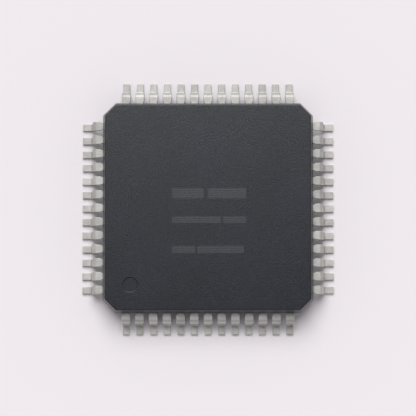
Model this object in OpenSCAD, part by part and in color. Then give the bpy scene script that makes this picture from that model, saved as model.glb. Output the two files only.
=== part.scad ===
// Quad flat pack: a square moulded body with gull-wing leads on its four sides.
// The moulding is closed around the lead frame, the die and the bond wires.
// Origin: the centre of the seating plane. +Z points up, and the pin 1 side faces -Y.
// Lengths are in millimetres, and angles in degrees.

/* [Moulded body] */
// Width of the body across its parting line, both ways
body_width = 10; // [9.6:0.1:12]
// Thickness of the body, from bottom face to top face
body_thickness = 1.4; // [1:0.05:2]
// Gap between the seating plane and the bottom face
standoff = 0.1; // [0.05:0.01:0.2]
// Draft of the sides, measured from the vertical
draft_angle = 12; // [5:1:15]
// Leg of the cut at each upright corner
corner_chamfer = 0.6; // [0.4:0.05:0.75]
// Straight lip above and below the leads at the parting line
parting_lip = 0.03; // [0.01:0.01:0.06]

/* [Pin 1 dimple] */
// Diameter of the dimple
dimple_diameter = 0.7; // [0.4:0.05:1]
// Depth of the dimple
dimple_depth = 0.06; // [0.03:0.01:0.1]
// Distance of its centre from the top face's two edges at that corner
dimple_inset = 1.2; // [0.9:0.05:1.6]

/* [Leads] */
// Number of leads on each side
leads_per_side = 13; // [8:1:13]
// Distance from lead to lead
lead_pitch = 0.65; // [0.5:0.05:0.7]
// Thickness of the lead frame's sheet
sheet_thickness = 0.145; // [0.1:0.005:0.2]
// Distance from the parting line to the tip of the foot
lead_reach = 1; // [0.9:0.05:1.3]
// Flat length of the shoulder, from the parting line to the first bend
shoulder_length = 0.28; // [0.2:0.01:0.35]
// Width of the neck, where the lead leaves the body
neck_width = 0.32; // [0.22:0.01:0.33]
// Length of the neck outside the parting line
neck_length = 0.04; // [0.02:0.01:0.06]
// Length over which the neck widens to the shoulder
neck_flare = 0.08; // [0.05:0.01:0.1]
// Width of the shoulder and its bend, where the dam bar was trimmed off
shoulder_width = 0.42; // [0.34:0.01:0.44]
// Height over which the leg narrows to the foot's width, below the shoulder's bend
leg_taper = 0.18; // [0.1:0.01:0.25]
// Width of the foot
foot_width = 0.32; // [0.22:0.01:0.33]
// Inner radius of both bends
bend_radius = 0.08; // [0.05:0.01:0.12]
// Slope of the leg, measured from the horizontal
leg_angle = 85; // [75:1:88]

/* [Lead frame inside the body] */
// Ledge of the paddle all round the die
paddle_margin = 0.6; // [0.3:0.05:0.8]
// How far the paddle lies below the leads
paddle_downset = 0.2; // [0.1:0.05:0.25]
// Width of the four bars that tie the paddle to the corners
tie_bar_width = 0.3; // [0.2:0.05:0.4]
// Gap between the paddle and the ends of the lead fingers
finger_gap = 0.4; // [0.25:0.05:0.5]
// Gap between a tie bar and the nearest finger
tie_bar_gap = 0.2; // [0.15:0.05:0.3]
// Width of a finger at its end
finger_width = 0.2; // [0.14:0.01:0.22]
// Straight length of a finger behind the parting line
finger_root = 0.3; // [0.2:0.05:0.4]
// Straight length at a finger's end, where its wire is bonded
bond_land = 0.25; // [0.15:0.05:0.3]

/* [Die] */
// Side of the square die
die_size = 4.2; // [3:0.1:4.6]
// Thickness of the die
die_thickness = 0.28; // [0.15:0.01:0.35]
// Thickness of the adhesive under the die
adhesive_thickness = 0.03; // [0.02:0.005:0.05]
// How far the adhesive squeezes out past the die
adhesive_margin = 0.12; // [0.05:0.01:0.25]

/* [Bond wires] */
// Diameter of the wire
wire_diameter = 0.03; // [0.02:0.005:0.04]
// Diameter of the ball at the die's end
ball_diameter = 0.075; // [0.06:0.005:0.09]
// Height of the flattened ball
ball_height = 0.015; // [0.01:0.005:0.03]
// Height of the loop above the die
loop_height = 0.16; // [0.1:0.01:0.2]
// Length of the slanted knuckle at the top of the loop
loop_knuckle = 0.08; // [0.05:0.01:0.1]
// Height of the straight drop onto the finger
stitch_height = 0.04; // [0.03:0.01:0.06]
// Distance from a bond pad's centre to the die's edge
pad_inset = 0.1; // [0.08:0.01:0.15]
// Distance from the last pad in a row to the die's corner
pad_corner_inset = 0.36; // [0.25:0.01:0.6]

/* [Hidden] */
$fn = 64;
bend_steps = 6;
wire_sides = 6;
cut_margin = 1;

body_half = body_width / 2;
body_bottom = standoff;
body_top = standoff + body_thickness;
frame_bottom = standoff + body_thickness / 2 - sheet_thickness / 2;
frame_top = frame_bottom + sheet_thickness;
lip_bottom = frame_bottom - parting_lip;
lip_top = frame_top + parting_lip;
upper_draft = (body_top - lip_top) * tan(draft_angle);
lower_draft = (lip_bottom - body_bottom) * tan(draft_angle);
corner_half = body_half * sqrt(2) - corner_chamfer / sqrt(2);
top_half = body_half - upper_draft;

outer_bend_radius = bend_radius + sheet_thickness;
bend_pair = bend_radius + outer_bend_radius;
leg_length = (frame_bottom - bend_pair * (1 - cos(leg_angle))) / sin(leg_angle);
bend_run = bend_pair * sin(leg_angle) + leg_length * cos(leg_angle);
first_bend = body_half + shoulder_length;
foot_heel = first_bend + bend_run;
foot_tip = body_half + lead_reach;
taper_top = frame_bottom - bend_radius;

paddle_size = die_size + 2 * paddle_margin;
paddle_bottom = frame_bottom - paddle_downset;
paddle_top = paddle_bottom + sheet_thickness;
paddle_corner = paddle_size / sqrt(2);
finger_end = paddle_size / 2 + finger_gap;
adhesive_size = die_size + 2 * adhesive_margin;
die_bottom = paddle_top + adhesive_thickness;
die_top = die_bottom + die_thickness;

lead_count = 4 * leads_per_side;
middle_lead = (leads_per_side - 1) / 2;
last_finger = finger_end - sqrt(2) * (tie_bar_width / 2 + tie_bar_gap) - finger_width / 2;
finger_pitch = last_finger / middle_lead;
pad_pitch = (die_size / 2 - pad_corner_inset) / middle_lead;

SIDES = ["front", "right", "back", "left"];

function lead_name(pin) = str("lead_", pin < 10 ? "0" : "", pin);

function arc(centre, radius, from, to) = [
    for (step = [0 : bend_steps])
        let (angle = from + (to - from) * step / bend_steps)
            centre + radius * [cos(angle), sin(angle)]
];

// Side view of a lead: distance from the middle of the part, and height.
function lead_profile() =
    let (
        lean = 90 - leg_angle,
        shoulder_centre = [first_bend, frame_bottom - bend_radius],
        heel_centre = [foot_heel, outer_bend_radius]
    )
    concat(
        [[finger_end, frame_bottom], [finger_end, frame_top]],
        arc(shoulder_centre, outer_bend_radius, 90, lean),
        arc(heel_centre, bend_radius, 180 + lean, 270),
        [[foot_tip, sheet_thickness], [foot_tip, 0]],
        arc(heel_centre, outer_bend_radius, 270, 180 + lean),
        arc(shoulder_centre, bend_radius, lean, 90)
    );

// One long edge of a lead seen from above, from finger end to foot tip. Its side is -1 or 1.
function lead_edge(outside, inside, side) = [
    [inside + side * finger_width / 2, -finger_end],
    [inside + side * finger_width / 2, -(finger_end + bond_land)],
    [outside + side * neck_width / 2, -(body_half - finger_root)],
    [outside + side * neck_width / 2, -(body_half + neck_length)],
    [outside + side * shoulder_width / 2, -(body_half + neck_length + neck_flare)],
    [outside + side * shoulder_width / 2, -(foot_tip + cut_margin)]
];

function reversed(list) = [for (i = [len(list) - 1 : -1 : 0]) list[i]];

// What is cut from one side of a leg and its foot, seen from the front. Its side is -1 or 1.
module leg_cut(outside, side) {
    translate([outside, 0, 0])
        rotate([90, 0, 0])
            linear_extrude(foot_tip + cut_margin)
                polygon([
                    [side * foot_width / 2, -cut_margin],
                    [side * foot_width / 2, taper_top - leg_taper],
                    [side * shoulder_width / 2, taper_top],
                    [side * shoulder_width, taper_top],
                    [side * shoulder_width, -cut_margin]
                ]);
}

// A lead of the front side. Its place counts from -X, starting at 0.
module front_lead(place) {
    outside = (place - middle_lead) * lead_pitch;
    inside = (place - middle_lead) * finger_pitch;
    difference() {
        intersection() {
            rotate([90, 0, -90])
                linear_extrude(body_width, center = true)
                    polygon(lead_profile());
            linear_extrude(body_top)
                polygon(concat(lead_edge(outside, inside, -1), reversed(lead_edge(outside, inside, 1))));
        }
        leg_cut(outside, -1);
        leg_cut(outside, 1);
    }
}

// Pins count round the body, anticlockwise from above, from the front side's -X end.
module lead(pin) {
    side = floor((pin - 1) / leads_per_side);
    color("#cdd0d2")
        rotate([0, 0, 90 * side])
            front_lead(pin - 1 - side * leads_per_side);
}

// A square slab that is centred on the part.
module slab(size, bottom, height) {
    translate([-size / 2, -size / 2, bottom])
        cube([size, size, height]);
}

// The bar slopes up from the paddle at 45 degrees, and ends flush with the corner's face.
module tie_bar() {
    start = paddle_corner - tie_bar_width;
    slope_start = paddle_corner;
    slope_end = slope_start + paddle_downset;
    rotate([90, 0, 0])
        linear_extrude(tie_bar_width, center = true)
            polygon([
                [start, paddle_bottom],
                [slope_start, paddle_bottom],
                [slope_end, frame_bottom],
                [corner_half, frame_bottom],
                [corner_half, frame_top],
                [slope_end, frame_top],
                [slope_start, paddle_top],
                [start, paddle_top]
            ]);
}

module die_paddle() {
    color("#c08552") {
        slab(paddle_size, paddle_bottom, sheet_thickness);
        for (corner = [0 : 3])
            rotate([0, 0, 45 + 90 * corner])
                tie_bar();
    }
}

module die_attach() {
    color("#9a9c9e")
        slab(adhesive_size, paddle_top, adhesive_thickness);
}

module silicon_die() {
    color("#54596b")
        slab(die_size, die_bottom, die_thickness);
}

// A wire's line in its own upright plane: distance along the plane, height and radius.
function wire_line(span) = [
    [0, die_top, ball_diameter / 2],
    [0, die_top + ball_height, ball_diameter / 2],
    [0, die_top + 2 * ball_height, wire_diameter / 2],
    [0, die_top + loop_height - loop_knuckle, wire_diameter / 2],
    [loop_knuckle, die_top + loop_height, wire_diameter / 2],
    [span, frame_top + stitch_height, wire_diameter / 2],
    [span, frame_top, wire_diameter / 2]
];

// Direction of a wire's line at a point, as an angle: the mean of the two runs that meet there.
function run_angle(from, to) = atan2(to[1] - from[1], to[0] - from[0]);
function line_angle(line, i) =
    i == 0 ? run_angle(line[0], line[1])
    : i == len(line) - 1 ? run_angle(line[i - 1], line[i])
    : (run_angle(line[i - 1], line[i]) + run_angle(line[i], line[i + 1])) / 2;

// Ring of points round a wire. Its width across the plane is true, and the mitre keeps the run round.
function wire_ring(line, i) =
    let (
        angle = line_angle(line, i),
        mitre = i == 0 ? 1 : cos(angle - run_angle(line[i - 1], line[i]))
    )
    [
        for (corner = [0 : wire_sides - 1])
            let (
                turn = 360 * corner / wire_sides,
                across = line[i][2] * cos(turn),
                up = line[i][2] * sin(turn) / mitre
            )
            [line[i][0] - up * sin(angle), across, line[i][1] + up * cos(angle)]
    ];

// A wire from the origin's pad along +X, over a span.
module wire(span) {
    line = wire_line(span);
    rings = len(line);
    points = [for (i = [0 : rings - 1]) each wire_ring(line, i)];
    walls = [
        for (i = [0 : rings - 2], corner = [0 : wire_sides - 1])
            let (
                here = i * wire_sides + corner,
                beside = i * wire_sides + (corner + 1) % wire_sides
            )
            each [[here, here + wire_sides, beside], [beside, here + wire_sides, beside + wire_sides]]
    ];
    first_cap = [for (corner = [0 : wire_sides - 1]) corner];
    last_cap = [for (corner = [wire_sides - 1 : -1 : 0]) (rings - 1) * wire_sides + corner];
    polyhedron(points, concat([first_cap], walls, [last_cap]));
}

// The wires of one side, each from its pad on the die to the middle of its finger's land.
module bond_wires(side) {
    color("#d8a83a")
        rotate([0, 0, 90 * side])
            for (place = [0 : leads_per_side - 1]) {
                pad = [(place - middle_lead) * pad_pitch, -(die_size / 2 - pad_inset)];
                land = [(place - middle_lead) * finger_pitch, -(finger_end + bond_land / 2)];
                run = land - pad;
                translate([pad[0], pad[1], 0])
                    rotate([0, 0, atan2(run[1], run[0])])
                        wire(norm(run));
            }
}

// Section of the body that is half wide at the parting line, extruded across the part.
module drafted_slab(half) {
    rotate([90, 0, 0])
        linear_extrude(2 * body_width, center = true)
            polygon([
                [lower_draft - half, body_bottom],
                [half - lower_draft, body_bottom],
                [half, lip_bottom],
                [half, lip_top],
                [half - upper_draft, body_top],
                [upper_draft - half, body_top],
                [-half, lip_top],
                [-half, lip_bottom]
            ]);
}

// The moulding's outside: four drafted sides and four cut corners.
module body_form() {
    intersection() {
        drafted_slab(body_half);
        rotate([0, 0, 90])
            drafted_slab(body_half);
        rotate([0, 0, 45])
            drafted_slab(corner_half);
        rotate([0, 0, -45])
            drafted_slab(corner_half);
    }
}

module pin_one_dimple() {
    centre = top_half - dimple_inset;
    translate([-centre, -centre, body_top - dimple_depth])
        cylinder(d = dimple_diameter, h = dimple_depth + cut_margin);
}

// The compound fills every space round the pieces that it holds.
module mould_body() {
    color("#2a2b2f")
        difference() {
            body_form();
            pin_one_dimple();
            die_paddle();
            die_attach();
            silicon_die();
            for (side = [0 : 3])
                bond_wires(side);
            for (pin = [1 : lead_count])
                lead(pin);
        }
}

mould_body();
die_paddle();
die_attach();
silicon_die();
for (side = [0 : 3])
    bond_wires(side);
for (pin = [1 : lead_count])
    lead(pin);
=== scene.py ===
import math

import bmesh
import bpy
from mathutils import Matrix, Vector


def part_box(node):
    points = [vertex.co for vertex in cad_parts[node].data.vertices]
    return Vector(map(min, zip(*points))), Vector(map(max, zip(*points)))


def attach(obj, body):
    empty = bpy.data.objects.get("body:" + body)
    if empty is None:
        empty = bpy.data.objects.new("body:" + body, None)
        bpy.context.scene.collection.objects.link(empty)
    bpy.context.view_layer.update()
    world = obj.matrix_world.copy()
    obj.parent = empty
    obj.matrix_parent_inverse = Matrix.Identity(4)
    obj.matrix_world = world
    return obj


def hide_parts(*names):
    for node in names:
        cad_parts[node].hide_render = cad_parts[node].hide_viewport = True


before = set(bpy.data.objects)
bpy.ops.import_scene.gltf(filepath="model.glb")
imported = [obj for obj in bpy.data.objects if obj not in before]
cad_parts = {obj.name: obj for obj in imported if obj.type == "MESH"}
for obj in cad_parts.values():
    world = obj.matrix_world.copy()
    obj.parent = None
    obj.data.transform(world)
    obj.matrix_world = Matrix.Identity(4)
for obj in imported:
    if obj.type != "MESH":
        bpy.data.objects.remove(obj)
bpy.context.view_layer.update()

# Leads. 52 strips of copper alloy sheet, stamped as the fingers of one frame and plated with tin.
# The moulding holds their inner ends. Outside it, the dam bar that joined them is trimmed off, which
# leaves the wide shoulders, and a forming tool bends each strip into a gull wing with a flat foot.
SIDES = 4
QUARTER_TURN = math.pi / 2
LEADS_PER_SIDE = 13
LEADS = [f"lead_{pin:02d}" for pin in range(1, SIDES * LEADS_PER_SIDE + 1)]

# Lengths are in millimetres, and so is each mesh until it is whole, because bevels and shading fail on
# anything so small in metres.
MM = 0.001
FINGER_WIDTH = 0.2
FINGER_ROOT = 0.3
BOND_LAND = 0.25
NECK_WIDTH = 0.32
NECK_LENGTH = 0.04
NECK_FLARE = 0.08
SHOULDER_LENGTH = 0.28
BEND_RADIUS = 0.08
LEG_ANGLE = math.radians(85)
LEG_TAPER = 0.18
FOOT_WIDTH = 0.32
STRIP_EDGE_ROUND = 0.022
SKEW = 0.012
LIFT = 0.008
BEND_STEPS = 8
EDGE_STEPS = 3
SHARP_ANGLE = math.radians(50)
CUT_DEPTH = 0.001


def box_in_mm(node):
    """The low and high corner of a CAD node's box, in millimetres."""
    return [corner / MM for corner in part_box(node)]


middle_low, middle_high = box_in_mm(LEADS[LEADS_PER_SIDE // 2])
next_low, next_high = box_in_mm(LEADS[LEADS_PER_SIDE // 2 + 1])
body_low, body_high = box_in_mm("mould_body")
sheet = box_in_mm("die_attach")[0].z - box_in_mm("die_paddle")[0].z
shoulder_height = middle_high.z - sheet / 2
bend_middle = BEND_RADIUS + sheet / 2
shoulder_corner = body_high.x + SHOULDER_LENGTH + bend_middle * math.tan(LEG_ANGLE / 2)
heel_corner = shoulder_corner + (shoulder_height - sheet / 2) / math.tan(LEG_ANGLE)
taper_top = middle_high.z - sheet - BEND_RADIUS
taper_bottom = taper_top - LEG_TAPER
taper_end = shoulder_corner + (shoulder_height - taper_bottom) / math.tan(LEG_ANGLE)


def add(tree, kind, inputs=(), **settings):
    """Adds a node with its settings, and sets each input to a value or links it to a socket."""
    node = tree.nodes.new(kind)
    for name, value in settings.items():
        setattr(node, name, value)
    for key, value in dict(inputs).items():
        if isinstance(value, bpy.types.NodeSocket):
            tree.links.new(value, node.inputs[key])
        else:
            node.inputs[key].default_value = value
    return node


def linear(colour):
    """The linear RGBA of an sRGB hex colour."""
    parts = [int(colour[i:i + 2], 16) / 255 for i in (1, 3, 5)]
    return [p / 12.92 if p <= 0.04045 else ((p + 0.055) / 1.055) ** 2.4 for p in parts] + [1.0]


def start_material(name):
    """A new node material, with its tree and its Principled shader."""
    material = bpy.data.materials.new(name)
    material.use_nodes = True
    return material, material.node_tree, material.node_tree.nodes["Principled BSDF"]


# The sockets of a Mix node that takes colours: its factor, its two colours and its result.
FACTOR, FIRST, SECOND, MIXED = 0, 6, 7, 2

# Most values of a noise texture lie between these two.
NOISE_LOW = 0.3
NOISE_HIGH = 0.7

# Matte tin: a soft and slightly warm silver whose crystals spread every highlight, drawn about ten
# times coarser than life so that they show. No two leads are quite alike, and the forming tool
# leaves faint streaks along each strip.
TIN_CRYSTAL = 0.06 * MM
TIN_RELIEF = 0.015 * MM
TIN_CLOUD = 0.25 * MM
LEAD_TONE_SHARE = 0.35
TOOL_STREAK = 0.04
tin, tree, shader = start_material("matte_tin_plate")
place = add(tree, "ShaderNodeTexCoord").outputs["Object"]
pin = add(tree, "ShaderNodeAttribute", attribute_name="pin").outputs["Fac"]
across = add(tree, "ShaderNodeAttribute", attribute_name="across").outputs["Fac"]
lead_tone = add(tree, "ShaderNodeTexWhiteNoise", {"W": pin}, noise_dimensions="1D")
clouds = add(tree, "ShaderNodeTexNoise", {"Vector": place, "Scale": 1 / TIN_CLOUD, "Detail": 3.0})
tone = add(tree, "ShaderNodeMath", {0: lead_tone.outputs["Value"], 1: LEAD_TONE_SHARE,
                                    2: clouds.outputs["Fac"]}, operation="MULTIPLY_ADD")
tone = add(tree, "ShaderNodeMapRange", {"Value": tone.outputs[0], "From Min": 0.35, "From Max": 1.0})
tin_colour = add(tree, "ShaderNodeMix", {FACTOR: tone.outputs[0], FIRST: linear("#b1b0ac"),
                                         SECOND: linear("#cdccc8")}, data_type="RGBA")
streak_place = add(tree, "ShaderNodeCombineXYZ", {"X": across, "Y": pin})
streaks = add(tree, "ShaderNodeTexNoise", {"Vector": streak_place.outputs[0], "Scale": 1 / TOOL_STREAK})
roughness = add(tree, "ShaderNodeMapRange", {"Value": streaks.outputs["Fac"], "From Min": NOISE_LOW,
                                             "From Max": NOISE_HIGH, "To Min": 0.56, "To Max": 0.68})
crystals = add(tree, "ShaderNodeTexNoise", {"Vector": place, "Scale": 1 / TIN_CRYSTAL, "Detail": 4.0})
bump = add(tree, "ShaderNodeBump", {"Height": crystals.outputs["Fac"], "Strength": 0.25,
                                    "Distance": TIN_RELIEF})
tree.links.new(tin_colour.outputs[MIXED], shader.inputs["Base Color"])
tree.links.new(roughness.outputs[0], shader.inputs["Roughness"])
tree.links.new(bump.outputs[0], shader.inputs["Normal"])
shader.inputs["Metallic"].default_value = 1.0

# Bare copper alloy at the tips, where the strip was cut after plating: a warm brown, lined by the
# shear, with some tin drawn down over it from the upper edge. The lines are coarser than life, to show.
SHEAR_LINE = 0.03 * MM
SHEAR_LENGTH = 0.2 * MM
SHEAR_RELIEF = 0.005 * MM
TIN_SMEAR = 0.06
sheared_copper, tree, shader = start_material("sheared_copper")
place = add(tree, "ShaderNodeTexCoord").outputs["Object"]
drawn_out = add(tree, "ShaderNodeMapping", {"Vector": place, "Scale": (1.0, 1.0, SHEAR_LINE / SHEAR_LENGTH)})
lines = add(tree, "ShaderNodeTexNoise", {"Vector": drawn_out.outputs[0], "Scale": 1 / SHEAR_LINE,
                                         "Detail": 3.0})
tone = add(tree, "ShaderNodeMapRange", {"Value": lines.outputs["Fac"], "From Min": 0.35, "From Max": 0.7})
copper_colour = add(tree, "ShaderNodeMix", {FACTOR: tone.outputs[0], FIRST: linear("#a07c68"),
                                            SECOND: linear("#c4aa99")}, data_type="RGBA")
height = add(tree, "ShaderNodeSeparateXYZ", {0: place}).outputs["Z"]
ragged = add(tree, "ShaderNodeMath", {0: lines.outputs["Fac"], 1: TIN_SMEAR * MM, 2: height},
             operation="MULTIPLY_ADD")
smear_start = (sheet - TIN_SMEAR / 2) * MM
smear = add(tree, "ShaderNodeMapRange", {"Value": ragged.outputs[0], "From Min": smear_start,
                                         "From Max": sheet * MM})
cut_colour = add(tree, "ShaderNodeMix", {FACTOR: smear.outputs[0], FIRST: copper_colour.outputs[MIXED],
                                         SECOND: linear("#bdbcb8")}, data_type="RGBA")
bump = add(tree, "ShaderNodeBump", {"Height": lines.outputs["Fac"], "Strength": 0.4,
                                    "Distance": SHEAR_RELIEF})
tree.links.new(cut_colour.outputs[MIXED], shader.inputs["Base Color"])
tree.links.new(bump.outputs[0], shader.inputs["Normal"])
shader.inputs["Metallic"].default_value = 1.0
shader.inputs["Roughness"].default_value = 0.45

sizes = {
    "Finger end": -middle_high.y,
    "Land end": -middle_high.y + BOND_LAND,
    "Root start": body_high.x - FINGER_ROOT,
    "Neck end": body_high.x + NECK_LENGTH,
    "Flare end": body_high.x + NECK_LENGTH + NECK_FLARE,
    "First bend": body_high.x + SHOULDER_LENGTH,
    "Shoulder corner": shoulder_corner,
    "Taper end": taper_end,
    "Heel corner": heel_corner,
    "Foot tip": -middle_low.y,
    "Shoulder height": shoulder_height,
    "Taper top": taper_top,
    "Taper bottom": taper_bottom,
    "Foot height": sheet / 2,
    "Sheet": sheet,
    "Edge round": STRIP_EDGE_ROUND,
    "Bend radius": bend_middle,
    "Finger width": FINGER_WIDTH,
    "Neck width": NECK_WIDTH,
    "Shoulder width": middle_high.x - middle_low.x,
    "Foot width": FOOT_WIDTH,
    "Finger pitch": next_low.x + FINGER_WIDTH / 2,
    "Lead pitch": next_high.x - middle_high.x,
    "Skew": SKEW,
    "Lift": LIFT,
}
counts = {"Leads per side": LEADS_PER_SIDE, "Bend steps": BEND_STEPS, "Edge steps": EDGE_STEPS, "Seed": 7}

tree = bpy.data.node_groups.new("gull_wing_leads", "GeometryNodeTree")
sockets = {}
for name in sizes:
    sockets[name] = tree.interface.new_socket(name, in_out="INPUT", socket_type="NodeSocketFloat")
for name in counts:
    sockets[name] = tree.interface.new_socket(name, in_out="INPUT", socket_type="NodeSocketInt")
tree.interface.new_socket("Leads", in_out="OUTPUT", socket_type="NodeSocketGeometry")
given = add(tree, "NodeGroupInput").outputs
index = add(tree, "GeometryNodeInputIndex").outputs[0]
position = add(tree, "GeometryNodeInputPosition").outputs[0]
spot = add(tree, "ShaderNodeSeparateXYZ", {0: position}).outputs
outwards = add(tree, "ShaderNodeMath", {0: spot["Y"], 1: -1.0}, operation="MULTIPLY").outputs[0]

# The line down the middle of one strip, from finger end to foot tip, with its two bends rounded.
stations = [
    ("Finger end", "Shoulder height", False),
    ("Land end", "Shoulder height", False),
    ("Root start", "Shoulder height", False),
    ("Neck end", "Shoulder height", False),
    ("Flare end", "Shoulder height", False),
    ("Shoulder corner", "Shoulder height", True),
    ("Taper end", "Taper bottom", False),
    ("Heel corner", "Foot height", True),
    ("Foot tip", "Foot height", False),
]
station = add(tree, "GeometryNodeIndexSwitch", {"Index": index}, data_type="VECTOR")
steps = add(tree, "GeometryNodeIndexSwitch", {"Index": index}, data_type="INT")
for switch in (station, steps):
    while len(switch.index_switch_items) < len(stations):
        switch.index_switch_items.new()
for i, (distance, height, is_bend) in enumerate(stations, 1):
    away = add(tree, "ShaderNodeMath", {0: given[distance], 1: -1.0}, operation="MULTIPLY")
    point = add(tree, "ShaderNodeCombineXYZ", {"Y": away.outputs[0], "Z": given[height]})
    tree.links.new(point.outputs[0], station.inputs[i])
    if is_bend:
        tree.links.new(given["Bend steps"], steps.inputs[i])
line = add(tree, "GeometryNodeMeshLine", {"Count": len(stations)})
line = add(tree, "GeometryNodeSetPosition", {"Geometry": line.outputs[0], "Position": station.outputs[0]})
line = add(tree, "GeometryNodeMeshToCurve", {"Mesh": line.outputs[0]})
line = add(tree, "GeometryNodeFilletCurve", {"Curve": line.outputs[0], "Count": steps.outputs[0],
                                             "Radius": given["Bend radius"]}, mode="POLY")

# The strip's section, with the round corners of a plated edge, swept along that line.
section = add(tree, "GeometryNodeCurvePrimitiveQuadrilateral", {"Width": given["Shoulder width"],
                                                                "Height": given["Sheet"]})
section = add(tree, "GeometryNodeFilletCurve", {"Curve": section.outputs[0], "Count": given["Edge steps"],
                                                "Radius": given["Edge round"]}, mode="POLY")
strip = add(tree, "GeometryNodeCurveToMesh", {"Curve": line.outputs[0], "Profile Curve": section.outputs[0],
                                              "Fill Caps": True})
near_tip = add(tree, "ShaderNodeMath", {0: given["Foot tip"], 1: CUT_DEPTH}, operation="SUBTRACT")
is_cut = add(tree, "FunctionNodeCompare", {"A": outwards, "B": near_tip.outputs[0]})
strip = add(tree, "GeometryNodeStoreNamedAttribute", {"Geometry": strip.outputs[0], "Name": "cut",
                                                      "Value": is_cut.outputs[0]}, domain="FACE")
strip = add(tree, "GeometryNodeStoreNamedAttribute", {"Geometry": strip.outputs[0], "Name": "across",
                                                      "Value": spot["X"]})

# One strip for each lead, all still on one spot. Each lead keeps its number, side and seat in its row.
total = add(tree, "ShaderNodeMath", {0: given["Leads per side"], 1: SIDES}, operation="MULTIPLY")
points = add(tree, "GeometryNodeMeshLine", {"Count": total.outputs[0], "Offset": (0.0, 0.0, 0.0)})
row = add(tree, "ShaderNodeMath", {0: index, 1: given["Leads per side"]}, operation="DIVIDE")
side = add(tree, "ShaderNodeMath", {0: row.outputs[0]}, operation="FLOOR")
in_row = add(tree, "ShaderNodeMath", {0: index, 1: given["Leads per side"]}, operation="MODULO")
middle = add(tree, "ShaderNodeMath", {0: given["Leads per side"], 1: 0.5, 2: -0.5}, operation="MULTIPLY_ADD")
seat = add(tree, "ShaderNodeMath", {0: in_row.outputs[0], 1: middle.outputs[0]}, operation="SUBTRACT")
for name, value in {"pin": index, "side": side.outputs[0], "seat": seat.outputs[0]}.items():
    points = add(tree, "GeometryNodeStoreNamedAttribute", {"Geometry": points.outputs[0], "Name": name,
                                                           "Value": value})
leads = add(tree, "GeometryNodeInstanceOnPoints", {"Points": points.outputs[0], "Instance": strip.outputs[0]})
leads = add(tree, "GeometryNodeRealizeInstances", {"Geometry": leads.outputs[0]})
own = {}
for name in ("pin", "side", "seat", "cut"):
    own[name] = add(tree, "GeometryNodeInputNamedAttribute", {"Name": name}).outputs["Attribute"]

# Width seen from above, from finger to shoulder, and seen from the front, from shoulder to foot.
finger_width = add(tree, "ShaderNodeMapRange", {
    "Value": outwards, "From Min": given["Land end"], "From Max": given["Root start"],
    "To Min": given["Finger width"], "To Max": given["Neck width"]})
widening = add(tree, "ShaderNodeMath", {0: given["Shoulder width"], 1: given["Neck width"]},
               operation="SUBTRACT")
flare = add(tree, "ShaderNodeMapRange", {
    "Value": outwards, "From Min": given["Neck end"], "From Max": given["Flare end"],
    "To Max": widening.outputs[0]})
from_above = add(tree, "ShaderNodeMath", {0: finger_width.outputs[0], 1: flare.outputs[0]})
from_front = add(tree, "ShaderNodeMapRange", {
    "Value": spot["Z"], "From Min": given["Taper bottom"], "From Max": given["Taper top"],
    "To Min": given["Foot width"], "To Max": given["Shoulder width"]})
width = add(tree, "ShaderNodeMath", {0: from_above.outputs[0], 1: from_front.outputs[0]}, operation="MINIMUM")
narrowing = add(tree, "ShaderNodeMath", {0: width.outputs[0], 1: given["Shoulder width"]}, operation="DIVIDE")

# The fan of the fingers, the small unevenness that forming leaves, and the turn to each side.
spacing = add(tree, "ShaderNodeMapRange", {
    "Value": outwards, "From Min": given["Land end"], "From Max": given["Root start"],
    "To Min": given["Finger pitch"], "To Max": given["Lead pitch"]})
centre = add(tree, "ShaderNodeMath", {0: own["seat"], 1: spacing.outputs[0]}, operation="MULTIPLY")
sideways = add(tree, "ShaderNodeMath", {0: spot["X"], 1: narrowing.outputs[0], 2: centre.outputs[0]},
               operation="MULTIPLY_ADD")
formed = add(tree, "ShaderNodeMapRange", {"Value": outwards, "From Min": given["First bend"],
                                          "From Max": given["Foot tip"]})
uneven = add(tree, "FunctionNodeRandomValue", {0: (-1.0, 0.0, 0.0), 1: (1.0, 0.0, 1.0), "ID": own["pin"],
                                               "Seed": given["Seed"]}, data_type="FLOAT_VECTOR")
most = add(tree, "ShaderNodeCombineXYZ", {"X": given["Skew"], "Z": given["Lift"]})
uneven = add(tree, "ShaderNodeVectorMath", {0: uneven.outputs[0], 1: most.outputs[0]}, operation="MULTIPLY")
uneven = add(tree, "ShaderNodeVectorMath", {0: uneven.outputs[0], "Scale": formed.outputs[0]},
             operation="SCALE")
placed = add(tree, "ShaderNodeCombineXYZ", {"X": sideways.outputs[0], "Y": spot["Y"], "Z": spot["Z"]})
placed = add(tree, "ShaderNodeVectorMath", {0: placed.outputs[0], 1: uneven.outputs[0]}, operation="ADD")
turn = add(tree, "ShaderNodeMath", {0: own["side"], 1: QUARTER_TURN}, operation="MULTIPLY")
turned = add(tree, "ShaderNodeVectorRotate", {"Vector": placed.outputs[0], "Angle": turn.outputs[0]})
leads = add(tree, "GeometryNodeSetPosition", {"Geometry": leads.outputs[0], "Position": turned.outputs[0]})
leads = add(tree, "GeometryNodeSetMaterial", {"Geometry": leads.outputs[0], "Material": tin})
leads = add(tree, "GeometryNodeSetMaterial", {"Geometry": leads.outputs[0], "Selection": own["cut"],
                                              "Material": sheared_copper})
add(tree, "NodeGroupOutput", {0: leads.outputs[0]})


def show(name, mesh):
    """An object at the origin for a mesh."""
    piece = bpy.data.objects.new(name, mesh)
    bpy.context.scene.collection.objects.link(piece)
    return piece


def keep_result(piece):
    """Makes what the piece's modifiers give its plain mesh, and removes them."""
    evaluated = piece.evaluated_get(bpy.context.evaluated_depsgraph_get())
    piece.data = bpy.data.meshes.new_from_object(evaluated)
    piece.modifiers.clear()


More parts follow.
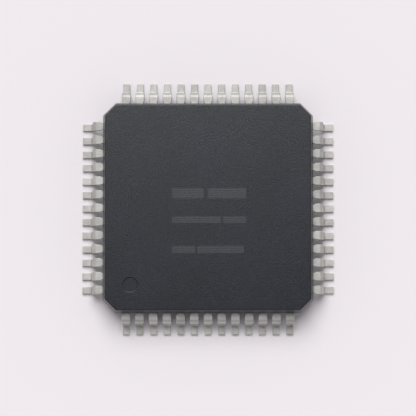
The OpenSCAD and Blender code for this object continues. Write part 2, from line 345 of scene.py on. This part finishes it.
def shade(mesh):
    """Shades smoothly over all but sharp edges. Large faces count most there, so flat ones stay flat."""
    around = [[] for vertex in mesh.vertices]
    for face in mesh.polygons:
        for vertex in face.vertices:
            around[vertex].append((face.normal.copy(), face.area))
    normals = []
    for face in mesh.polygons:
        for vertex in face.vertices:
            total = Vector()
            for normal, area in around[vertex]:
                if normal.dot(face.normal) > math.cos(SHARP_ANGLE):
                    total += normal * area / face.area
            normals.append(total.normalized())
    mesh.shade_smooth()
    mesh.normals_split_custom_set(normals)


gull_wing_leads = show("gull_wing_leads", bpy.data.meshes.new("gull_wing_leads"))
maker = gull_wing_leads.modifiers.new("leads", "NODES")
maker.node_group = tree
for name, value in {**sizes, **counts}.items():
    maker[sockets[name].identifier] = value
keep_result(gull_wing_leads)
gull_wing_leads.data.materials.pop(index=0)
shade(gull_wing_leads.data)
gull_wing_leads.data.transform(Matrix.Scale(MM, 4))
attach(gull_wing_leads, "root")
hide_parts(*LEADS)

# Die paddle. It is one stamped piece of the same sheet, pressed down below the level of the leads,
# with four bars that tie it to the corners. Their cut ends show on the corner faces of the body.
# Rolled copper alloy: a pinkish metal with fine lines along the way that it was rolled.
ROLLING_LINE = 0.02 * MM
ROLLING_LENGTH = 0.25 * MM
ROLLING_RELIEF = 0.003 * MM
rolled_copper, tree, shader = start_material("rolled_copper_alloy")
place = add(tree, "ShaderNodeTexCoord").outputs["Object"]
drawn_out = add(tree, "ShaderNodeMapping", {"Vector": place,
                                            "Scale": (ROLLING_LINE / ROLLING_LENGTH, 1.0, 1.0)})
lines = add(tree, "ShaderNodeTexNoise", {"Vector": drawn_out.outputs[0], "Scale": 1 / ROLLING_LINE,
                                         "Detail": 4.0})
tone = add(tree, "ShaderNodeMapRange", {"Value": lines.outputs["Fac"], "From Min": 0.3, "From Max": 0.75})
copper_colour = add(tree, "ShaderNodeMix", {FACTOR: tone.outputs[0], FIRST: linear("#977562"),
                                            SECOND: linear("#b99a86")}, data_type="RGBA")
roughness = add(tree, "ShaderNodeMapRange", {"Value": lines.outputs["Fac"], "To Min": 0.28, "To Max": 0.5})
bump = add(tree, "ShaderNodeBump", {"Height": lines.outputs["Fac"], "Strength": 0.3,
                                    "Distance": ROLLING_RELIEF})
tree.links.new(copper_colour.outputs[MIXED], shader.inputs["Base Color"])
tree.links.new(roughness.outputs[0], shader.inputs["Roughness"])
tree.links.new(bump.outputs[0], shader.inputs["Normal"])
shader.inputs["Metallic"].default_value = 1.0
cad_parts["die_paddle"].material_slots[0].material = rolled_copper

# Die attach. A thin bed of silver-filled epoxy, printed on the paddle and squeezed out a little
# when the die is set down into it, and then cured.
# Silver-filled epoxy: a grey paste full of small bright flakes.
SILVER_FLAKE = 0.02 * MM
FLAKE_RELIEF = 0.004 * MM
silver_epoxy, tree, shader = start_material("silver_filled_epoxy")
place = add(tree, "ShaderNodeTexCoord").outputs["Object"]
flakes = add(tree, "ShaderNodeTexVoronoi", {"Vector": place, "Scale": 1 / SILVER_FLAKE})
tone = add(tree, "ShaderNodeMapRange", {"Value": flakes.outputs["Color"], "From Min": 0.2, "From Max": 0.8})
flake_colour = add(tree, "ShaderNodeMix", {FACTOR: tone.outputs[0], FIRST: linear("#7f7f7b"),
                                           SECOND: linear("#c9c9c4")}, data_type="RGBA")
bump = add(tree, "ShaderNodeBump", {"Height": flakes.outputs["Distance"], "Strength": 0.4,
                                    "Distance": FLAKE_RELIEF})
tree.links.new(flake_colour.outputs[MIXED], shader.inputs["Base Color"])
tree.links.new(bump.outputs[0], shader.inputs["Normal"])
shader.inputs["Metallic"].default_value = 0.7
shader.inputs["Roughness"].default_value = 0.5
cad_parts["die_attach"].material_slots[0].material = silver_epoxy

# Silicon die. A square sawn from a polished wafer, bonded on the adhesive, with its circuits on top
# in blocks of different density.
# Polished silicon: dark and mirror-like, with a bluish tint that changes from block to block.
SILICON_IOR = 3.9
CIRCUIT_BLOCK = 0.7 * MM
CIRCUIT_CELL = 0.06 * MM
CELL_SHARE = 0.3
silicon, tree, shader = start_material("polished_silicon")
place = add(tree, "ShaderNodeTexCoord").outputs["Object"]
blocks = add(tree, "ShaderNodeTexVoronoi", {"Vector": place, "Scale": 1 / CIRCUIT_BLOCK},
             voronoi_dimensions="2D", distance="CHEBYCHEV")
cells = add(tree, "ShaderNodeTexVoronoi", {"Vector": place, "Scale": 1 / CIRCUIT_CELL},
            voronoi_dimensions="2D", distance="CHEBYCHEV")
density = add(tree, "ShaderNodeMath", {0: cells.outputs["Distance"], 1: CELL_SHARE,
                                       2: blocks.outputs["Color"]}, operation="MULTIPLY_ADD")
density = add(tree, "ShaderNodeMapRange", {"Value": density.outputs[0], "From Min": 0.1})
circuit_colour = add(tree, "ShaderNodeMix", {FACTOR: density.outputs[0], FIRST: linear("#33384a"),
                                             SECOND: linear("#7c7a83")}, data_type="RGBA")
roughness = add(tree, "ShaderNodeMapRange", {"Value": cells.outputs["Distance"], "To Min": 0.12,
                                             "To Max": 0.3})
tree.links.new(circuit_colour.outputs[MIXED], shader.inputs["Base Color"])
tree.links.new(roughness.outputs[0], shader.inputs["Roughness"])
shader.inputs["IOR"].default_value = SILICON_IOR
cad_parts["silicon_die"].material_slots[0].material = silicon

# Bond wires. Drawn gold wire, welded to a pad on the die as a small ball, led over in a low loop
# and stitched to the end of a lead's finger.
# Drawn gold: bright and warm, with faint lines from the drawing die.
DRAWING_LINE = 0.01 * MM
gold, tree, shader = start_material("drawn_gold")
place = add(tree, "ShaderNodeTexCoord").outputs["Object"]
drawn = add(tree, "ShaderNodeTexNoise", {"Vector": place, "Scale": 1 / DRAWING_LINE, "Detail": 2.0})
tone = add(tree, "ShaderNodeMapRange", {"Value": drawn.outputs["Fac"], "From Min": NOISE_LOW,
                                        "From Max": NOISE_HIGH})
gold_colour = add(tree, "ShaderNodeMix", {FACTOR: tone.outputs[0], FIRST: linear("#d9a33c"),
                                          SECOND: linear("#f0c668")}, data_type="RGBA")
roughness = add(tree, "ShaderNodeMapRange", {"Value": drawn.outputs["Fac"], "To Min": 0.15, "To Max": 0.35})
tree.links.new(gold_colour.outputs[MIXED], shader.inputs["Base Color"])
tree.links.new(roughness.outputs[0], shader.inputs["Roughness"])
shader.inputs["Metallic"].default_value = 1.0
INNER_WIRES = [f"bond_wires_{side}" for side in ("front", "right", "back", "left")]
for name in INNER_WIRES:
    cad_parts[name].material_slots[0].material = gold

# Mould body. Black epoxy compound, pressed hot into a two-part mould around the lead frame, the die
# and the wires. The sides slope so that it leaves the mould, with a straight lip where the halves met.
DRAFT = math.radians(12)
CORNER_CHAMFER = 0.6
PARTING_LIP = 0.03
EDGE_ROUND = 0.045
EDGE_ROUND_STEPS = 4
LIP_ROUND = 0.006
LIP_ROUND_STEPS = 2
DIMPLE_RADIUS = 0.35
DIMPLE_DEPTH = 0.06
DIMPLE_INSET = 1.2
DIMPLE_ROUND = 0.02
DIMPLE_STEPS = 64
DIMPLE_ARC_STEPS = 5
DIMPLE_CUT = 0.2
TIE_BAR_CLEARANCE = 0.05
MERGE_DISTANCE = 1e-5
SAME_HEIGHT = 1e-3

half = body_high.x
top = body_high.z
bottom = body_low.z
lip_high = middle_high.z + PARTING_LIP
lip_low = middle_high.z - sheet - PARTING_LIP
upper_inset = (top - lip_high) * math.tan(DRAFT)
lower_inset = (lip_low - bottom) * math.tan(DRAFT)
to_next_side = Matrix.Rotation(QUARTER_TURN, 3, "Z")

shape = bmesh.new()
loops = []
for height, inset in [(bottom, lower_inset), (lip_low, 0), (lip_high, 0), (top, upper_inset)]:
    side = half - inset
    along = 2 * half - CORNER_CHAMFER - math.sqrt(2) * inset - side
    corners = [Vector((side, along, height)), Vector((along, side, height))]
    loop = []
    for quarter in range(SIDES):
        loop += [shape.verts.new(corner) for corner in corners]
        corners = [to_next_side @ corner for corner in corners]
    loops.append(loop)
shape.faces.new(loops[0][::-1])
for lower, upper in zip(loops, loops[1:]):
    for i in range(len(lower)):
        shape.faces.new((lower[i - 1], lower[i], upper[i], upper[i - 1]))
shape.faces.new(loops[-1])


def lip_edges():
    """The level edges of the parting lip."""
    found = []
    for edge in shape.edges:
        heights = [vert.co.z for vert in edge.verts]
        for lip in (lip_low, lip_high):
            if all(abs(height - lip) < SAME_HEIGHT for height in heights):
                found.append(edge)
    return found


outer_edges = list(set(shape.edges) - set(lip_edges()))
bmesh.ops.bevel(shape, geom=outer_edges, offset=EDGE_ROUND, segments=EDGE_ROUND_STEPS, profile=0.5,
                affect="EDGES")
bmesh.ops.bevel(shape, geom=lip_edges(), offset=LIP_ROUND, segments=LIP_ROUND_STEPS, profile=0.5,
                affect="EDGES")
body_mesh = bpy.data.meshes.new("moulded_body")
shape.to_mesh(body_mesh)
shape.free()
moulded_body = show("moulded_body", body_mesh)

# Epoxy mould compound: black, satin and slightly cool. The mould's spark-eroded skin leaves a fine
# even grain, drawn about four times coarser than life so that it shows. The silica filler gives
# pale specks, and the flow of the compound leaves faint clouds. The laser that marks the top turns
# it a dull grey in fine lines: here plain bars, their lines drawn coarser than life too.
COMPOUND_IOR = 1.55
COMPOUND_BLACK = "#0d1119"
SKIN_GRAIN = 0.06 * MM
GRAIN_RELIEF = 0.018 * MM
FILLER_SPECK = 0.13 * MM
FLOW_CLOUD = 2.2 * MM
LASER_LINE = 0.11 * MM
BAR_SOFTNESS = 0.03 * MM
BARS = [
    {"centre": (-0.95, 0.65), "size": (1.5, 0.5)},
    {"centre": (0.9, 0.65), "size": (1.8, 0.5)},
    {"centre": (-0.55, -0.6), "size": (2.3, 0.3)},
    {"centre": (1.25, -0.6), "size": (1.1, 0.3)},
    {"centre": (-1.15, -2.0), "size": (1.1, 0.34)},
    {"centre": (0.6, -2.0), "size": (2.2, 0.34)},
]
compound, tree, shader = start_material("epoxy_mould_compound")
place = add(tree, "ShaderNodeTexCoord").outputs["Object"]
to_bars = None
for bar in BARS:
    middle = Vector((*bar["centre"], top)) * MM
    reach = [value * MM / 2 for value in bar["size"]] + [BAR_SOFTNESS]
    away = add(tree, "ShaderNodeVectorMath", {0: place, 1: middle}, operation="SUBTRACT")
    away = add(tree, "ShaderNodeVectorMath", {0: away.outputs[0]}, operation="ABSOLUTE")
    away = add(tree, "ShaderNodeVectorMath", {0: away.outputs[0], 1: reach}, operation="SUBTRACT")
    away = add(tree, "ShaderNodeSeparateXYZ", {0: away.outputs[0]})
    beyond = add(tree, "ShaderNodeMath", {0: away.outputs["X"], 1: away.outputs["Y"]}, operation="MAXIMUM")
    beyond = add(tree, "ShaderNodeMath", {0: beyond.outputs[0], 1: away.outputs["Z"]}, operation="MAXIMUM")
    if to_bars is None:
        to_bars = beyond
    else:
        to_bars = add(tree, "ShaderNodeMath", {0: to_bars.outputs[0], 1: beyond.outputs[0]},
                      operation="MINIMUM")
marked = add(tree, "ShaderNodeMapRange", {"Value": to_bars.outputs[0], "From Min": BAR_SOFTNESS / 2,
                                          "From Max": -BAR_SOFTNESS / 2})
wave_length_at_scale_1 = math.pi / 10
scan = add(tree, "ShaderNodeTexWave", {"Vector": place, "Scale": wave_length_at_scale_1 / LASER_LINE,
                                       "Distortion": 0.4, "Detail": 1.0}, bands_direction="Y")
burn = add(tree, "ShaderNodeMapRange", {"Value": scan.outputs["Fac"], "To Min": 0.08, "To Max": 0.24})
burn = add(tree, "ShaderNodeMath", {0: burn.outputs[0], 1: marked.outputs[0]}, operation="MULTIPLY")
clouds = add(tree, "ShaderNodeTexNoise", {"Vector": place, "Scale": 1 / FLOW_CLOUD, "Detail": 3.0})
grain = add(tree, "ShaderNodeTexNoise", {"Vector": place, "Scale": 1 / SKIN_GRAIN, "Detail": 5.0,
                                         "Roughness": 0.8})
specks = add(tree, "ShaderNodeTexVoronoi", {"Vector": place, "Scale": 1 / FILLER_SPECK})
speck = add(tree, "ShaderNodeMapRange", {"Value": specks.outputs["Distance"], "From Min": 0.24,
                                         "From Max": 0.1, "To Max": 0.35})
tone = add(tree, "ShaderNodeMapRange", {"Value": clouds.outputs["Fac"], "From Min": NOISE_LOW,
                                        "From Max": NOISE_HIGH})
plain_colour = add(tree, "ShaderNodeMix", {FACTOR: tone.outputs[0], FIRST: linear(COMPOUND_BLACK),
                                           SECOND: linear("#141823")}, data_type="RGBA")
filled_colour = add(tree, "ShaderNodeMix", {FACTOR: speck.outputs[0], FIRST: plain_colour.outputs[MIXED],
                                            SECOND: linear("#3e4046")}, data_type="RGBA")
marked_colour = add(tree, "ShaderNodeMix", {FACTOR: burn.outputs[0], FIRST: filled_colour.outputs[MIXED],
                                            SECOND: linear("#77777a")}, data_type="RGBA")
roughness = add(tree, "ShaderNodeMapRange", {"Value": grain.outputs["Fac"], "From Min": NOISE_LOW,
                                             "From Max": NOISE_HIGH, "To Min": 0.23, "To Max": 0.34})
bump = add(tree, "ShaderNodeBump", {"Height": grain.outputs["Fac"], "Strength": 0.3,
                                    "Distance": GRAIN_RELIEF})
tree.links.new(marked_colour.outputs[MIXED], shader.inputs["Base Color"])
tree.links.new(roughness.outputs[0], shader.inputs["Roughness"])
tree.links.new(bump.outputs[0], shader.inputs["Normal"])
shader.inputs["IOR"].default_value = COMPOUND_IOR
body_mesh.materials.append(compound)

# The same compound without grain: an even satin black in the pin 1 dimple, which a smooth pin in the
# mould left, and in the hollows around what the compound holds.
smooth_compound, tree, shader = start_material("smooth_mould_compound")
place = add(tree, "ShaderNodeTexCoord").outputs["Object"]
clouds = add(tree, "ShaderNodeTexNoise", {"Vector": place, "Scale": 1 / SKIN_GRAIN, "Detail": 2.0})
tone = add(tree, "ShaderNodeMapRange", {"Value": clouds.outputs["Fac"], "From Min": NOISE_LOW,
                                        "From Max": NOISE_HIGH})
smooth_colour = add(tree, "ShaderNodeMix", {FACTOR: tone.outputs[0], FIRST: linear(COMPOUND_BLACK),
                                            SECOND: linear("#131721")}, data_type="RGBA")
roughness = add(tree, "ShaderNodeMapRange", {"Value": clouds.outputs["Fac"], "To Min": 0.28, "To Max": 0.34})
tree.links.new(smooth_colour.outputs[MIXED], shader.inputs["Base Color"])
tree.links.new(roughness.outputs[0], shader.inputs["Roughness"])
shader.inputs["IOR"].default_value = COMPOUND_IOR

# The dimple's cutter is turned from half of its section, with a round floor edge and a round rim.
dimple_centre = Vector((-1, -1, 0)) * (half - upper_inset - DIMPLE_INSET) + Vector((0, 0, top))
floor_round = Vector((DIMPLE_RADIUS - DIMPLE_ROUND, 0, DIMPLE_ROUND - DIMPLE_DEPTH))
rim_round = Vector((DIMPLE_RADIUS + DIMPLE_ROUND, 0, -DIMPLE_ROUND))
outline = [Vector((0, 0, -DIMPLE_DEPTH))]
for step in range(DIMPLE_ARC_STEPS + 1):
    angle = QUARTER_TURN * step / DIMPLE_ARC_STEPS
    outline.append(floor_round + DIMPLE_ROUND * Vector((math.sin(angle), 0, -math.cos(angle))))
for step in range(DIMPLE_ARC_STEPS + 1):
    angle = QUARTER_TURN * step / DIMPLE_ARC_STEPS
    outline.append(rim_round + DIMPLE_ROUND * Vector((-math.cos(angle), 0, math.sin(angle))))
outline += [outline[-1] + Vector((0, 0, DIMPLE_CUT)), Vector((0, 0, DIMPLE_CUT))]
shape = bmesh.new()
points = [shape.verts.new(dimple_centre + point) for point in outline]
edges = [shape.edges.new(pair) for pair in zip(points, points[1:])]
bmesh.ops.spin(shape, geom=points + edges, cent=dimple_centre, axis=(0, 0, 1), angle=2 * math.pi,
               steps=DIMPLE_STEPS)
bmesh.ops.remove_doubles(shape, verts=shape.verts, dist=MERGE_DISTANCE)
bmesh.ops.recalc_face_normals(shape, faces=shape.faces)
dimple_mesh = bpy.data.meshes.new("dimple_cutter")
shape.to_mesh(dimple_mesh)
shape.free()
dimple_mesh.materials.append(smooth_compound)

# Everything that the compound flowed around, as one cutter. It runs on past the ends of the tie bars,
# which are flush with the corner faces, so that no skin is left over them.
corner_half = (2 * half - CORNER_CHAMFER) / math.sqrt(2)
shape = bmesh.new()
shape.from_mesh(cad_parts["die_paddle"].data)
for point in shape.verts:
    diagonal = Vector((math.copysign(1, point.co.x), math.copysign(1, point.co.y), 0)).normalized()
    if point.co.dot(diagonal) > (corner_half - TIE_BAR_CLEARANCE) * MM:
        point.co += diagonal * TIE_BAR_CLEARANCE * MM
for piece in [gull_wing_leads] + [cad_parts[name] for name in
                                  ["die_attach", "silicon_die", *INNER_WIRES]]:
    shape.from_mesh(piece.data)
bmesh.ops.scale(shape, vec=(1 / MM, 1 / MM, 1 / MM), verts=shape.verts)
bmesh.ops.remove_doubles(shape, verts=shape.verts, dist=MERGE_DISTANCE)
held_mesh = bpy.data.meshes.new("held_pieces")
shape.to_mesh(held_mesh)
shape.free()
held_mesh.materials.clear()
held_mesh.materials.append(smooth_compound)

cutters = [show("dimple_cutter", dimple_mesh), show("held_pieces", held_mesh)]
for cutter in cutters:
    cut = moulded_body.modifiers.new(cutter.name, "BOOLEAN")
    cut.object = cutter
    cut.solver = "MANIFOLD"
    cut.material_mode = "TRANSFER"
keep_result(moulded_body)
for cutter in cutters:
    bpy.data.objects.remove(cutter)
shade(moulded_body.data)
moulded_body.data.transform(Matrix.Scale(MM, 4))
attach(moulded_body, "root")
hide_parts("mould_body")

# Studio. The part lies on a wide sheet of pale matt paper, in a pale room with a dimmer ceiling.
# One soft lamp shines from behind and above.
FLOOR_HALF = 3.0
PAPER = "#f1ecef"
floor_mesh = bpy.data.meshes.new("floor")
shape = bmesh.new()
bmesh.ops.create_grid(shape, x_segments=1, y_segments=1, size=FLOOR_HALF)
shape.to_mesh(floor_mesh)
shape.free()
floor = show("floor", floor_mesh)
paper, tree, shader = start_material("matt_paper")
shader.inputs["Base Color"].default_value = linear(PAPER)
shader.inputs["Roughness"].default_value = 0.9
shader.inputs["Specular IOR Level"].default_value = 0.2
floor_mesh.materials.append(paper)

# The room is as pale as the paper low down, and dims in two steps on the way up. Heights there run from
# 0, level, to 1, overhead.
ROOM_SHADES = [
    {"start": 0.1, "end": 0.55, "colour": "#b9b8ba"},
    {"start": 0.55, "end": 0.85, "colour": "#6c6d72"},
]
scene = bpy.context.scene
scene.view_settings.view_transform = "Standard"
room = bpy.data.worlds.new("room")
scene.world = room
room.use_nodes = True
tree = room.node_tree
direction = add(tree, "ShaderNodeTexCoord").outputs["Generated"]
upwards = add(tree, "ShaderNodeSeparateXYZ", {0: direction}).outputs["Z"]
room_colour = linear(PAPER)
for band in ROOM_SHADES:
    share = add(tree, "ShaderNodeMapRange", {"Value": upwards, "From Min": band["start"],
                                             "From Max": band["end"]})
    dimmed = add(tree, "ShaderNodeMix", {FACTOR: share.outputs[0], FIRST: room_colour,
                                         SECOND: linear(band["colour"])}, data_type="RGBA")
    room_colour = dimmed.outputs[MIXED]
tree.links.new(room_colour, tree.nodes["Background"].inputs["Color"])

# The lamp gives this share of the light at which the floor renders in its own colour, the room the rest.
LAMP_LEVEL = 0.63
LAMP_ELEVATION = math.radians(56)
LAMP_TURN = math.radians(8)
LAMP_SPREAD = math.radians(46)
lamp_light = bpy.data.lights.new("lamp", "SUN")
lamp_light.angle = LAMP_SPREAD
lamp_light.energy = LAMP_LEVEL * math.pi / math.sin(LAMP_ELEVATION)
lamp = bpy.data.objects.new("lamp", lamp_light)
scene.collection.objects.link(lamp)
towards_lamp = Vector((-math.sin(LAMP_TURN) * math.cos(LAMP_ELEVATION),
                       math.cos(LAMP_TURN) * math.cos(LAMP_ELEVATION),
                       math.sin(LAMP_ELEVATION)))
lamp.rotation_euler = towards_lamp.to_track_quat("Z", "Y").to_euler()

# Camera. It looks down from the front at the photograph's steep angle, through a long lens that keeps
# the sides of the body parallel.
ELEVATION = math.radians(86)
PICTURE_WIDTH = 19.8 * MM
LENS = 180
NEAREST_SEEN = 5 * MM
camera = bpy.data.cameras.new("camera")
camera.lens = LENS
camera.clip_start = NEAREST_SEEN
eye = bpy.data.objects.new("camera", camera)
scene.collection.objects.link(eye)
distance = PICTURE_WIDTH * LENS / camera.sensor_width
back = Vector((0.0, -math.cos(ELEVATION), math.sin(ELEVATION)))
eye.location = back * distance + Vector((0.0, 0.0, top / 2 * MM))
eye.rotation_euler = back.to_track_quat("Z", "Y").to_euler()
scene.camera = eye
